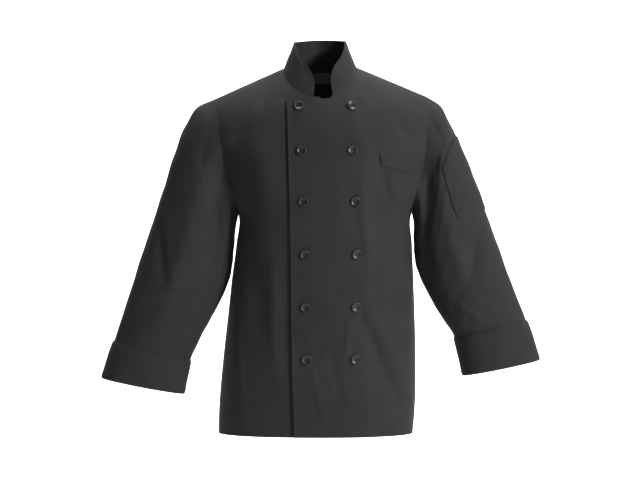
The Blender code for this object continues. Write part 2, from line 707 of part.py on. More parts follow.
def add_welt(grids, normals, cloth):
    """The breast pocket's welt, on the left front's own columns between its two ends."""
    corners = {name: panel_place(grids["left"], *place) for name, place in WELT_CORNERS.items()}
    inner_column = corners["inner_top"][1]
    outer_column = corners["outer_top"][1]
    low, high = sorted((inner_column, outer_column))
    columns = np.unique(np.concatenate([[low], np.arange(np.ceil(low), high), [high]]))
    across = (columns - inner_column) / (outer_column - inner_column)
    top = corners["inner_top"][0] + across * (corners["outer_top"][0] - corners["inner_top"][0])
    foot = corners["inner_foot"][0] + across * (corners["outer_foot"][0] - corners["inner_foot"][0])
    down = np.linspace(0.0, 1.0, 3)[:, None]
    rows = top[None] * (1 - down) + foot[None] * down
    over = np.repeat(columns[None], 3, axis=0)
    patch("chest_pocket_welt", grids["left"], normals["left"], rows, over, PATCH_GAP, PATCH_CLOTH, cloth)


def sleeve_rows(along):
    """Fractional rows of the sleeve's grid at places along it."""
    return np.interp(along, SLEEVE_STATIONS, np.arange(len(SLEEVE_STATIONS)))


def add_sleeve_patches(sleeve, cloth, label):
    """The pen pocket round the outside of the left sleeve, and the tab on its top corner."""
    normals = sleeve_normals(sleeve)
    half = ROWS_ABOVE
    turned, turned_normals = np.roll(sleeve, half, axis=1), np.roll(normals, half, axis=1)
    columns = np.array(POCKET_ANGLES) / (180.0 / ROWS_ABOVE) + half
    part = (columns[0] - columns) / (columns[0] - columns[-1])
    top = POCKET_TOP_FRONT + (POCKET_TOP_BACK - POCKET_TOP_FRONT) * part
    foot = POCKET_FOOT_FRONT + (POCKET_FOOT_BACK - POCKET_FOOT_FRONT) * part
    down = np.linspace(0.0, 1.0, 5)[:, None]
    rows = sleeve_rows(top[None] * (1 - down) + foot[None] * down)
    over = np.repeat(columns[None], 5, axis=0)
    patch("sleeve_pocket", turned, turned_normals, rows, over, PATCH_GAP, PATCH_CLOTH, cloth)
    tab_columns = np.array(SLEEVE_LABEL["angle"]) / (180.0 / ROWS_ABOVE) + half
    tab_rows = sleeve_rows(np.array(SLEEVE_LABEL["along"]))
    rows, over = np.meshgrid(tab_rows, tab_columns, indexing="ij")
    patch("sleeve_label", turned, turned_normals, rows, over, LABEL_GAP, LABEL_CLOTH, label)


def add_neck_label(grids, normals, label):
    """The label inside the back neck, on the inner face of the back."""
    inside = grids["back"] - normals["back"] * CLOTH
    places = [[panel_place(inside, x, z) for x in NECK_LABEL["x"]] for z in NECK_LABEL["z"]]
    places = np.array(places)
    patch(
        "neck_label",
        inside,
        -normals["back"],
        places[..., 0],
        places[..., 1],
        LABEL_GAP,
        LABEL_CLOTH,
        label,
    )


def main():
    for old in list(bpy.data.objects):
        bpy.data.objects.remove(old, do_unlink=True)
    cloth = material("black_cloth", CLOTH_COLOUR, 0.85)
    plastic = material("button_plastic", BUTTON_COLOUR, 0.35)
    label = material("label_cloth", LABEL_COLOUR, 0.7)
    grids, normals, sleeves = add_body_and_sleeves(cloth)
    add_collar(grids, cloth)
    add_buttons(grids, normals, plastic)
    add_welt(grids, normals, cloth)
    add_sleeve_patches(sleeves["left"], cloth, label)
    add_neck_label(grids, normals, label)


main()
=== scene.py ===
"""Looks of the double-breasted chef jacket: fine cloth, stitching, buttons, light and camera."""

import logging
from dataclasses import dataclass, field
from enum import Enum
from typing import Any, Callable

import bmesh
import bpy
import numpy as np
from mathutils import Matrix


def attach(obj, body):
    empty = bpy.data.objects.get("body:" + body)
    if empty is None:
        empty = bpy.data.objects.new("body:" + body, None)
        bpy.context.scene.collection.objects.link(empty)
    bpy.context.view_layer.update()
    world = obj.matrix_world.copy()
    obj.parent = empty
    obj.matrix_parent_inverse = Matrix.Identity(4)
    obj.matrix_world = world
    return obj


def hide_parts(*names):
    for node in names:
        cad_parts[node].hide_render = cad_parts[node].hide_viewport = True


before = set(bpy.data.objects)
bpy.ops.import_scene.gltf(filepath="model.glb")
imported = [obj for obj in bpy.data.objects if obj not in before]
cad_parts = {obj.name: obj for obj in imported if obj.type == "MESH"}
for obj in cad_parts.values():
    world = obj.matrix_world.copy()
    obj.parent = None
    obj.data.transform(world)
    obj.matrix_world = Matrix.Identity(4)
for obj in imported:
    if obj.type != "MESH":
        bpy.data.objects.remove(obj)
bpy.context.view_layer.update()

LOG = logging.getLogger("chef_jacket")
Array = np.ndarray


class Side(Enum):
    """The wearer's side, with the sign of its X."""

    RIGHT = -1.0
    LEFT = 1.0


CLOTH = 0.0014
HEM_Z = -0.745
NECK_HALF_WIDTH = 0.075
NECK_POINT_Z = 0.002
SHOULDER_SLOPE = 0.4375
SHOULDER_TILT = 0.0143
NECK_ROUNDING = 0.020
FRONT_NECK_DROP = 0.0655
BACK_NECK_RISE = 0.006
FULLNESS = 2.3
YOKE_Z = -0.25
UNDERARM_Z = -0.295
TIP_WIDTH = 0.217
LAP_LIFT = 0.0037
LAP_TOP_Z = -0.0687

BODY_COLUMNS = ("z", "right", "left", "front", "back")
BODY_ROWS = (
    (-0.745, 0.2080, 0.1900, 0.119, 0.108),
    (-0.700, 0.2070, 0.1940, 0.120, 0.107),
    (-0.600, 0.1990, 0.1960, 0.121, 0.104),
    (-0.500, 0.1880, 0.1940, 0.120, 0.102),
    (-0.430, 0.1805, 0.1915, 0.121, 0.104),
    (-0.360, 0.1715, 0.1885, 0.124, 0.109),
    (-0.295, 0.1680, 0.1880, 0.127, 0.114),
    (-0.260, 0.1860, 0.2080, 0.127, 0.116),
    (-0.217, 0.2000, 0.2190, 0.127, 0.117),
    (-0.150, 0.2380, 0.2440, 0.126, 0.117),
    (-0.090, 0.2560, 0.2570, 0.126, 0.117),
    (0.000, 0.2620, 0.2620, 0.126, 0.117),
)
ARMHOLE_COLUMNS = ("z", "right", "left")
ARMHOLE_ROWS = (
    (-0.295, 0.1680, 0.1880),
    (-0.260, 0.1730, 0.1940),
    (-0.217, 0.1850, 0.2060),
    (-0.150, 0.2010, 0.2155),
    (-0.099, 0.2075, 0.2175),
    (-0.066, 0.2170, 0.2170),
)
LAP_COLUMNS = ("z", "lap_edge", "under_edge")
LAP_ROWS = (
    (-0.745, -0.0505, 0.085),
    (-0.600, -0.0555, 0.085),
    (-0.350, -0.0587, 0.085),
    (-0.200, -0.0625, 0.085),
    (-0.110, -0.0650, 0.060),
    (-0.060, -0.0668, 0.040),
)
SLEEVE_COLUMNS = ("along", "outer_x", "outer_z", "inner_x", "inner_z", "half_depth", "forward")
SLEEVE_ROWS = {
    Side.RIGHT: (
        (0.00, 0.2160, -0.0633, 0.1680, -0.2950, 0.062, 0.002),
        (0.05, 0.2490, -0.0780, 0.1722, -0.3150, 0.064, 0.002),
        (0.12, 0.2730, -0.1125, 0.1745, -0.3400, 0.066, 0.003),
        (0.24, 0.2965, -0.1710, 0.1772, -0.3800, 0.066, 0.005),
        (0.40, 0.3280, -0.2700, 0.1850, -0.4320, 0.064, 0.009),
        (0.57, 0.3625, -0.3760, 0.2080, -0.4850, 0.060, 0.014),
        (0.74, 0.3950, -0.4800, 0.2400, -0.5430, 0.054, 0.020),
        (0.87, 0.4205, -0.5580, 0.2640, -0.5980, 0.049, 0.025),
        (1.00, 0.4440, -0.6320, 0.2775, -0.6640, 0.045, 0.029),
    ),
    Side.LEFT: (
        (0.00, 0.2170, -0.0567, 0.1880, -0.2950, 0.062, 0.002),
        (0.05, 0.2450, -0.0740, 0.1915, -0.3130, 0.064, 0.002),
        (0.12, 0.2645, -0.1080, 0.1916, -0.3340, 0.066, 0.003),
        (0.24, 0.2925, -0.1720, 0.1922, -0.3650, 0.066, 0.005),
        (0.40, 0.3260, -0.2560, 0.1975, -0.4080, 0.064, 0.009),
        (0.57, 0.3600, -0.3520, 0.2175, -0.4550, 0.060, 0.014),
        (0.74, 0.3950, -0.4500, 0.2460, -0.5050, 0.054, 0.020),
        (0.87, 0.4210, -0.5160, 0.2735, -0.5500, 0.049, 0.025),
        (1.00, 0.4465, -0.5950, 0.2915, -0.6270, 0.045, 0.029),
    ),
}

# Creases: the line's two ends, its half width and its height, negative for a trough
FOLD_COLUMNS = ("x0", "z0", "x1", "z1", "width", "height")
FRONT_FOLDS = (
    (-0.090, -0.010, -0.125, -0.085, 0.012, -0.0050),
    (-0.128, -0.150, -0.095, -0.300, 0.030, 0.0060),
    (0.078, -0.230, 0.100, -0.390, 0.010, 0.0040),
    (0.118, -0.200, 0.150, -0.300, 0.010, -0.0050),
    (0.075, -0.480, 0.165, -0.700, 0.011, -0.0060),
    (0.095, -0.470, 0.180, -0.660, 0.012, 0.0040),
    (-0.150, -0.330, -0.120, -0.560, 0.018, -0.0050),
    (0.188, -0.240, 0.180, -0.380, 0.007, -0.0045),
    (-0.100, -0.360, -0.085, -0.640, 0.012, 0.0035),
    (-0.170, -0.500, -0.150, -0.730, 0.012, 0.0045),
    (0.020, -0.560, 0.045, -0.690, 0.009, -0.0025),
    (0.058, -0.510, 0.050, -0.590, 0.006, 0.0025),
    (-0.020, -0.600, 0.010, -0.720, 0.008, 0.0020),
    (-0.040, -0.570, 0.020, -0.562, 0.005, -0.0020),
    (0.092, -0.030, 0.105, -0.075, 0.005, -0.0025),
    (-0.062, -0.058, -0.085, -0.070, 0.003, -0.0020),
    (0.140, -0.330, 0.125, -0.470, 0.012, 0.0030),
    (-0.140, -0.120, -0.185, -0.175, 0.009, -0.0035),
    (0.150, -0.110, 0.195, -0.160, 0.009, -0.0030),
)
BACK_FOLDS = (
    (-0.110, -0.140, -0.150, -0.330, 0.022, -0.0050),
    (0.115, -0.150, 0.155, -0.350, 0.020, -0.0045),
    (-0.060, -0.330, -0.095, -0.640, 0.022, -0.0055),
    (0.040, -0.300, 0.075, -0.600, 0.026, 0.0055),
    (0.125, -0.420, 0.110, -0.700, 0.015, -0.0045),
    (-0.140, -0.450, -0.120, -0.720, 0.014, 0.0040),
    (0.000, -0.420, -0.015, -0.730, 0.016, -0.0030),
    (-0.050, -0.080, 0.045, -0.085, 0.010, -0.0025),
    (0.130, -0.090, 0.180, -0.180, 0.010, -0.0035),
    (-0.125, -0.095, -0.180, -0.170, 0.009, -0.0030),
)
SLEEVE_FOLD_COLUMNS = ("along0", "angle0", "along1", "angle1", "width", "height")
SLEEVE_FOLDS = {
    Side.RIGHT: (
        (0.06, 105, 0.62, 150, 16, -0.0085),
        (0.20, 78, 0.80, 88, 13, 0.0055),
        (0.35, 262, 0.75, 285, 15, -0.0055),
        (0.45, 40, 0.62, 75, 10, -0.0040),
        (0.58, 120, 0.72, 70, 9, -0.0030),
        (0.66, 130, 0.80, 95, 7, 0.0025),
        (0.74, 60, 0.87, 30, 8, -0.0025),
        (0.02, 60, 0.14, 75, 9, -0.0030),
        (0.50, 225, 0.66, 200, 10, 0.0035),
        (0.10, 300, 0.30, 270, 12, -0.0035),
    ),
    Side.LEFT: (
        (0.06, 120, 0.62, 152, 16, -0.0085),
        (0.16, 88, 0.70, 96, 12, 0.0050),
        (0.30, 268, 0.70, 250, 15, -0.0055),
        (0.50, 60, 0.66, 95, 10, -0.0045),
        (0.62, 110, 0.76, 60, 8, -0.0030),
        (0.70, 120, 0.83, 100, 7, 0.0028),
        (0.76, 45, 0.87, 25, 8, -0.0022),
        (0.01, 55, 0.11, 62, 8, -0.0035),
        (0.50, 205, 0.66, 225, 10, 0.0035),
        (0.10, 290, 0.28, 262, 12, -0.0030),
    ),
}
BUTTON_COLUMNS = ("z", "right_x", "left_x")
BUTTON_ROWS = (
    (-0.0825, -0.0428, 0.0626),
    (-0.1735, -0.0368, 0.0645),
    (-0.2745, -0.0328, 0.0706),
    (-0.3800, -0.0298, 0.0726),
    (-0.4850, -0.0288, 0.0716),
    (-0.5890, -0.0268, 0.0706),
)


# Collar, cuffs, patches and labels, in metres unless said otherwise
COLLAR_HEIGHT = 0.0565
COLLAR_ROUNDING = 0.030
COLLAR_SINK = 0.0012
COLLAR_WALL = 0.0022
COLLAR_LEAN = (0.70, 0.82, 1.0)
CUFF_ROLL = 0.0021
CUFF_EDGE = 0.0006
PATCH_SEAT = 0.0005
LABEL_SEAT = 0.0006
WELT_ROLL = 0.0020
WELT_CORNERS = ((0.119, -0.176), (0.1985, -0.188), (0.1225, -0.204), (0.197, -0.219))
NECK_LABEL_X = (-0.011, 0.022)
NECK_LABEL_Z = (-0.024, -0.002)

# Pen pocket and tab: degrees round the sleeve, and shares of its length as a start and a rise
POCKET_ANGLES = (75, -36)
POCKET_TOP = (0.150, 0.046)
POCKET_FOOT = (0.390, 0.093)
POCKET_FACE = 0.0022
TAB_ANGLES = (84, 64)
TAB_ALONG = (0.108, 0.132)
TAB_FACE = 0.0016

# Seams and edges of the fronts
HEM_FOLD_SHARE = 28.0 / 450.0
FACING_X = 0.0784
FACING_SLOPE = 0.0230
FACING_Z = -0.06
LAP_EDGE_SOFTNESS = 0.006
LAP_PUCKER_PITCH = 0.011

# How fast the body closes in to the shoulder line, as powers
FRONT_CLOSING = 0.62
BACK_CLOSING = 0.36

CYCLE = 6.28
RIPPLE_WAVES = 7
SHARP_ANGLE = 48


def table(columns: tuple[str, ...], rows: tuple) -> dict[str, Array]:
    """One array for each named column."""
    return dict(zip(columns, np.array(rows, float).T))


BODY = table(BODY_COLUMNS, BODY_ROWS)
ARMHOLE = table(ARMHOLE_COLUMNS, ARMHOLE_ROWS)
LAP = table(LAP_COLUMNS, LAP_ROWS)
SLEEVES = {side: table(SLEEVE_COLUMNS, rows) for side, rows in SLEEVE_ROWS.items()}


def smooth(stations: Array, values: Array, at: Array) -> Array:
    """Cubic curve through the values, whose slope at each is that between its neighbours.

    Args:
        stations: rising places where the values are known.
        values: the value at each station.
        at: places to read, held inside the stations.

    Returns:
        The curve's value at each place.
    """
    at = np.clip(at, stations[0], stations[-1])
    slopes = np.gradient(values, stations)
    row = np.clip(np.searchsorted(stations, at, side="right") - 1, 0, len(stations) - 2)
    length = stations[row + 1] - stations[row]
    part = (at - stations[row]) / length
    rise = (3 - 2 * part) * part**2
    swing = part * (1 - part) * length * ((1 - part) * slopes[row] - part * slopes[row + 1])
    return values[row] + (values[row + 1] - values[row]) * rise + swing


def unit(vectors: Array) -> Array:
    """The vectors at length 1."""
    return vectors / np.maximum(np.linalg.norm(vectors, axis=-1, keepdims=True), 1e-12)


def fade(value: Array) -> Array:
    """1 at 0 and 0 at 1, level at both ends."""
    value = np.clip(value, 0.0, 1.0)
    return 1 - value * value * (3 - 2 * value)


def shoulder_z(x: Array) -> Array:
    """Height of the shoulder line: an even slope, rounded over the neck.

    Args:
        x: places across the body.

    Returns:
        The height at each place.
    """
    reach = np.sqrt(np.square(x) + NECK_ROUNDING**2)
    neck = np.sqrt(NECK_HALF_WIDTH**2 + NECK_ROUNDING**2)
    return NECK_POINT_Z + SHOULDER_SLOPE * (neck - reach) + SHOULDER_TILT * x


def half_width(x: Array, z: Array) -> Array:
    """Half width of the body's oval at height z, on the side of x."""
    return np.where(x < 0, smooth(BODY["z"], BODY["right"], z), smooth(BODY["z"], BODY["left"], z))


def panel_half_width(x: Array, z: Array) -> Array:
    """Half width of the panels: side seam, and armhole above the underarm."""
    right, left = (smooth(ARMHOLE["z"], ARMHOLE[side], z) for side in ("right", "left"))
    hole = np.where(x < 0, right, left)
    return np.where(z > UNDERARM_Z, hole, half_width(x, z))


def creases(x: Array, z: Array, folds: tuple) -> Array:
    """Sum of ridges, each a bell across its own bent line that fades at its two ends.

    Args:
        x: places across the body.
        z: heights of the same places.
        folds: rows of FOLD_COLUMNS.

    Returns:
        The height of the creases at each place.
    """
    height = np.zeros_like(x)
    for number, fold in enumerate(folds):
        named = dict(zip(FOLD_COLUMNS, fold))
        run = np.array([named["x1"] - named["x0"], named["z1"] - named["z0"]])
        length = np.hypot(*run)
        along = ((x - named["x0"]) * run[0] + (z - named["z0"]) * run[1]) / length**2
        across = ((x - named["x0"]) * run[1] - (z - named["z0"]) * run[0]) / length
        across = across + 0.06 * length * np.sin(3.1 * along + number) * (along - along**2)
        ends = fade(np.abs(along - 0.5) * 2 - 0.35)
        height = height + named["height"] * ends * np.exp(-((across / named["width"]) ** 2))
    return height


def rumple(a: Array, b: Array, scale: float, seed: int) -> Array:
    """Uneven ripple between -1 and 1: crossed sine waves with seeded directions.

    Args:
        a: places along the first direction.
        b: places along the second.
        scale: usual distance between two crests.
        seed: picks the waves' directions.

    Returns:
        The ripple at each place.
    """
    draw = np.random.default_rng(seed)
    total = np.zeros(np.broadcast(a, b).shape)
    for _ in range(RIPPLE_WAVES):
        turn, phase, pitch = draw.uniform(0, np.pi), draw.uniform(0, CYCLE), draw.uniform(0.6, 1.7)
        total = total + np.sin((a * np.cos(turn) + b * np.sin(turn)) * pitch / scale * CYCLE + phase)
    return total / RIPPLE_WAVES


def body_surface(x: Array, z: Array, front: bool, lift: Array) -> Array:
    """Oval cross sections that close in to the shoulder line, with the creases laid on them.

    Args:
        x: places across the body.
        z: heights of the same places.
        front: whether they lie on the front.
        lift: how far each place stands off the oval.

    Returns:
        The points of the surface.
    """
    ratio = np.clip(np.abs(x) / half_width(x, z), 0.0, 1.0)
    oval = (1 - ratio**FULLNESS) ** (1 / FULLNESS)
    climb = np.clip((z - YOKE_Z) / (shoulder_z(x) - YOKE_Z), 0.0, 1.0)
    closing = (1 - climb**2) ** (FRONT_CLOSING if front else BACK_CLOSING)
    out = smooth(BODY["z"], BODY["front" if front else "back"], z) * oval * closing
    inside = np.clip(out / 0.030, 0.0, 1.0)
    relief = creases(x, z, FRONT_FOLDS if front else BACK_FOLDS)
    relief = relief + 0.0009 * rumple(x, z * 0.5, 0.075, 3) + 0.0004 * rumple(x, z, 0.024, 5)
    out = out + inside * relief + lift
    return np.stack([x, -out if front else out, z], axis=-1)


def neckline_z(x: Array, front: bool) -> Array:
    """Round neckline between the neck points, and the shoulder seam beyond them.

    Args:
        x: places across the body.
        front: whether to follow the front neck or the back neck.

    Returns:
        The height of the edge at each place.
    """
    part = np.sqrt(np.clip(1 - (x / NECK_HALF_WIDTH) ** 2, 0.0, 1.0))
    turn = -FRONT_NECK_DROP * part if front else BACK_NECK_RISE * part**2
    return np.where(np.abs(x) < NECK_HALF_WIDTH, NECK_POINT_Z + SHOULDER_TILT * x + turn, shoulder_z(x))


def grid_normals(grid: Array, towards: Array, ring: bool = False) -> Array:
    """Normals of a grid from the cross product of its two directions, turned to one side.

    Args:
        grid: points in rows and columns.
        towards: a direction at each point that its normal agrees with.
        ring: whether the last column joins the first.

    Returns:
        A normal at length 1 for each point.
    """
    if ring:
        wide = np.concatenate([grid[:, -1:], grid, grid[:, :1]], axis=1)
        across = (wide[:, 2:] - wide[:, :-2]) / 2
    else:
        across = np.gradient(grid, axis=1)
    normal = unit(np.cross(across, np.gradient(grid, axis=0)))
    return normal * np.where(np.sum(normal * towards, axis=-1, keepdims=True) < 0, -1.0, 1.0)


def on_grid(grid: Array, rows: Array, columns: Array) -> Array:
    """Points of a grid at fractional rows and columns, even between neighbours.

    Args:
        grid: points in rows and columns.
        rows: fractional row of each place.
        columns: fractional column of each place.

    Returns:
        The point at each place.
    """
    row = np.clip(np.floor(rows).astype(int), 0, grid.shape[0] - 2)
    column = np.clip(np.floor(columns).astype(int), 0, grid.shape[1] - 2)
    down, over = (rows - row)[..., None], (columns - column)[..., None]
    upper = grid[row, column] * (1 - over) + grid[row, column + 1] * over
    lower = grid[row + 1, column] * (1 - over) + grid[row + 1, column + 1] * over
    return upper * (1 - down) + lower * down


def arc_lengths(path: Array) -> Array:
    """Length of the path from its start to each of its points."""
    return np.concatenate([[0.0], np.cumsum(np.linalg.norm(np.diff(path, axis=0), axis=1))])


def along_path(where: Array, walk: Array, values: Array) -> Array:
    """Values of a path at given lengths from its start, even between its points."""
    return np.stack([np.interp(where, walk, values[:, axis]) for axis in range(3)], -1)


def closed(row: Array) -> Array:
    """A ring of points or normals, with its first repeated at the end."""
    return np.concatenate([row, row[:1]])


def between(corners: list, over: Array, down: Array) -> tuple[Array, Array]:
    """Rows and columns inside four corners: each corner's weight is its share across and down.

    Args:
        corners: row and column of the top two corners, then of the bottom two.
        over: share across, 0 to 1.
        down: share down, 0 to 1.

    Returns:
        The fractional rows and the fractional columns.
    """
    weights = [(1 - over) * (1 - down), over * (1 - down), (1 - over) * down, over * down]
    rows = sum(weight * corner[0] for weight, corner in zip(weights, corners))
    columns = sum(weight * corner[1] for weight, corner in zip(weights, corners))
    return rows, columns


def add_mesh(name: str, points: Array, faces: list | Array, finish: bpy.types.Material) -> bpy.types.Object:
    """A smooth-shaded object from points and faces, its faces turned outwards.

    Args:
        name: the new object's name.
        points: its vertices.
        faces: its faces, as numbers of vertices.
        finish: its material.

    Returns:
        The object, linked to the scene.
    """
    mesh = bpy.data.meshes.new(name)
    mesh.from_pydata(points.tolist(), [], [list(map(int, face)) for face in faces])
    shaped = bmesh.new()
    shaped.from_mesh(mesh)
    bmesh.ops.recalc_face_normals(shaped, faces=shaped.faces)
    shaped.to_mesh(mesh)
    shaped.free()
    mesh.shade_smooth()
    mesh.set_sharp_from_angle(angle=np.radians(SHARP_ANGLE))
    mesh.materials.append(finish)
    piece = bpy.data.objects.new(name, mesh)
    bpy.context.scene.collection.objects.link(piece)
    return piece


def wall(name: str, outer: Array, inner: Array, finish: bpy.types.Material,
         ring: bool = False) -> bpy.types.Object:
    """A closed wall between two equal grids of points.

    Args:
        name: the new object's name.
        outer: grid of the wall's outer face.
        inner: grid of its inner face, point for point.
        finish: the wall's material.
        ring: whether the grid's last column joins its first.

    Returns:
        The wall as an object.
    """
    rows, columns = outer.shape[:2]
    index = np.arange(rows * columns).reshape(rows, columns)
    if ring:
        index = np.concatenate([index, index[:, :1]], axis=1)
    within = rows * columns
    quads = np.stack([index[:-1, :-1], index[:-1, 1:], index[1:, 1:], index[1:, :-1]], axis=-1).reshape(-1, 4)
    faces = [quads, quads[:, ::-1] + within]
    edges = [(index[0, 1:], index[0, :-1]), (index[-1, :-1], index[-1, 1:])]
    if not ring:
        edges += [(index[:-1, 0], index[1:, 0]), (index[1:, -1], index[:-1, -1])]
    for start, end in edges:
        faces.append(np.stack([start, end, end + within, start + within], axis=-1))
    points = np.concatenate([outer.reshape(-1, 3), inner.reshape(-1, 3)])
    return add_mesh(name, points, np.concatenate(faces), finish)


class Shade:
    """A shader socket that takes part in Python sums; each sum adds a Math node."""

    def __init__(self, tree: bpy.types.NodeTree, socket: Any) -> None:
        """Wraps the socket of the tree."""
        self.tree, self.socket = tree, socket

    def _math(self, operation: str, first: Any, second: Any) -> "Shade":
        """Adds one Math node on two values."""
        made = node(self.tree, "ShaderNodeMath", {"operation": operation}, {0: first, 1: second})
        return Shade(self.tree, made.outputs[0])

    def __add__(self, other: Any) -> "Shade":
        """Sum."""
        return self._math("ADD", self, other)

    def __mul__(self, other: Any) -> "Shade":
        """Product."""
        return self._math("MULTIPLY", self, other)

    def __rsub__(self, other: Any) -> "Shade":
        """A number less this value."""
        return self._math("SUBTRACT", other, self)

    __radd__, __rmul__ = __add__, __mul__


def node(tree: bpy.types.NodeTree, kind: str, settings: dict, inputs: dict) -> Any:
    """Adds a node of any type, sets its settings, then sets or links its sockets.

    Args:
        tree: the material's nodes.
        kind: the node's type.
        settings: its properties, by name.
        inputs: a number, colour or Shade for each named socket.

    Returns:
        The node.
    """
    made = tree.nodes.new(kind)
    for name, value in settings.items():
        setattr(made, name, value)
    for name, value in inputs.items():
        if isinstance(value, Shade):
            tree.links.new(value.socket, made.inputs[name])
        else:
            made.inputs[name].default_value = value
    return made


@dataclass(frozen=True)
class ClothFinish:
    """Twill cloth: its colour, worn tint, roughness, sheen and the depth of its weave."""

    name: str
    colour: tuple[float, float, float]
    tint: tuple[float, float, float]
    roughness: float = 0.82
    sheen: float = 0.02
    weave: float = 0.35

    def make(self) -> bpy.types.Material:
        """Builds the material: fine diagonal ribs, slubs and soft cloudy wear.

        Returns:
            The material.
        """
        made = bpy.data.materials.new(self.name)
        made.use_nodes = True
        tree = made.node_tree
        shader = tree.nodes["Principled BSDF"]
        place = Shade(tree, node(tree, "ShaderNodeTexCoord", {}, {}).outputs["Object"])
        cloud = self._noise(tree, place, 14.0, 4.0)
        slub = self._noise(tree, place, 900.0, 2.0)
        turn = node(tree, "ShaderNodeMapping", {}, {"Vector": place, "Rotation": (0.3, 0.9, 0.2)})
        rib = node(tree, "ShaderNodeTexWave", {}, {
            "Vector": Shade(tree, turn.outputs[0]), "Scale": 320.0, "Distortion": 1.2, "Detail": 1.0})
        mask = cloud * 0.65 + slub * 0.45 + (-0.1)
        mix = node(tree, "ShaderNodeMix", {"data_type": "RGBA"}, {
            0: mask, 6: (*self.colour, 1.0), 7: (*self.tint, 1.0)})
        tree.links.new(mix.outputs[2], shader.inputs["Base Color"])
        rough = slub * 0.10 + (self.roughness - 0.05)
        tree.links.new(rough.socket, shader.inputs["Roughness"])
        height = Shade(tree, rib.outputs["Fac"]) * 0.6 + slub * 0.4
        bump = node(tree, "ShaderNodeBump", {}, {
            "Strength": self.weave, "Distance": 0.00025, "Height": height})
        tree.links.new(bump.outputs[0], shader.inputs["Normal"])
        shader.inputs["Sheen Weight"].default_value = self.sheen
        shader.inputs["Sheen Roughness"].default_value = 0.45
        shader.inputs["Specular IOR Level"].default_value = 0.12
        return made

    def _noise(self, tree: bpy.types.NodeTree, place: Shade, scale: float, detail: float) -> Shade:
        """A noise at a scale, as a value."""
        made = node(tree, "ShaderNodeTexNoise", {}, {"Vector": place, "Scale": scale, "Detail": detail})
        return Shade(tree, made.outputs["Fac"])


@dataclass(frozen=True)
class PlasticFinish:
    """Moulded button plastic, a little scuffed."""

    name: str
    colour: tuple[float, float, float]
    roughness: float = 0.38

    def make(self) -> bpy.types.Material:
        """Builds the material, with a fine uneven gloss.

        Returns:
            The material.
        """
        made = bpy.data.materials.new(self.name)
        made.use_nodes = True
        tree = made.node_tree
        shader = tree.nodes["Principled BSDF"]
        place = Shade(tree, node(tree, "ShaderNodeTexCoord", {}, {}).outputs["Object"])
        scuff = node(tree, "ShaderNodeTexNoise", {}, {"Vector": place, "Scale": 420.0, "Detail": 3.0})
        rough = Shade(tree, scuff.outputs["Fac"]) * 0.16 + (self.roughness - 0.08)
        tree.links.new(rough.socket, shader.inputs["Roughness"])
        shader.inputs["Base Color"].default_value = (*self.colour, 1.0)
        shader.inputs["Specular IOR Level"].default_value = 0.28
        return made


@dataclass
class Stitching:
    """Topstitching, gathered as short raised threads and made into one mesh."""

    pitch: float = 0.0034
    length: float = 0.0026
    radius: float = 0.00034
    starts: list[Array] = field(default_factory=list)
    normals: list[Array] = field(default_factory=list)

    def along(self, path: Array, normal: Array) -> None:
        """Adds even stitches along a path.

        Args:
            path: points of the seam, on the cloth.
            normal: the cloth's outward normal at each point.
        """
        walk = arc_lengths(path)
        starts = np.arange(0.0, walk[-1] - self.length, self.pitch)
        at = [along_path(where, walk, path) for where in (starts, starts + self.length)]
        self.starts.append(np.stack(at, axis=1))
        self.normals.append(unit(along_path(starts, walk, normal)))

    def make(self, name: str, finish: bpy.types.Material) -> bpy.types.Object:
        """Each stitch is a four-sided spindle from its start to its end, joined into one mesh.

        Args:
            name: the new object's name.
            finish: the thread's material.

        Returns:
            All the stitches, as one object.
        """
        ends = np.concatenate(self.starts)
        up = np.concatenate(self.normals)
        run = unit(ends[:, 1] - ends[:, 0])
        over = unit(np.cross(run, up))
        middle = ends.mean(axis=1) + up * self.radius * 0.7
        ring = [middle + (up * a + over * b) * self.radius for a, b in ((1, 0), (0, 1), (-1, 0), (0, -1))]
        points = np.stack([ends[:, 0], *ring, ends[:, 1]], axis=1).reshape(-1, 3)
        base = np.array([[0, 1, 2], [0, 2, 3], [0, 3, 4], [0, 4, 1],
                         [5, 2, 1], [5, 3, 2], [5, 4, 3], [5, 1, 4]])
        faces = (base[None] + np.arange(len(ends))[:, None, None] * 6).reshape(-1, 3)
        return add_mesh(name, points, faces, finish)


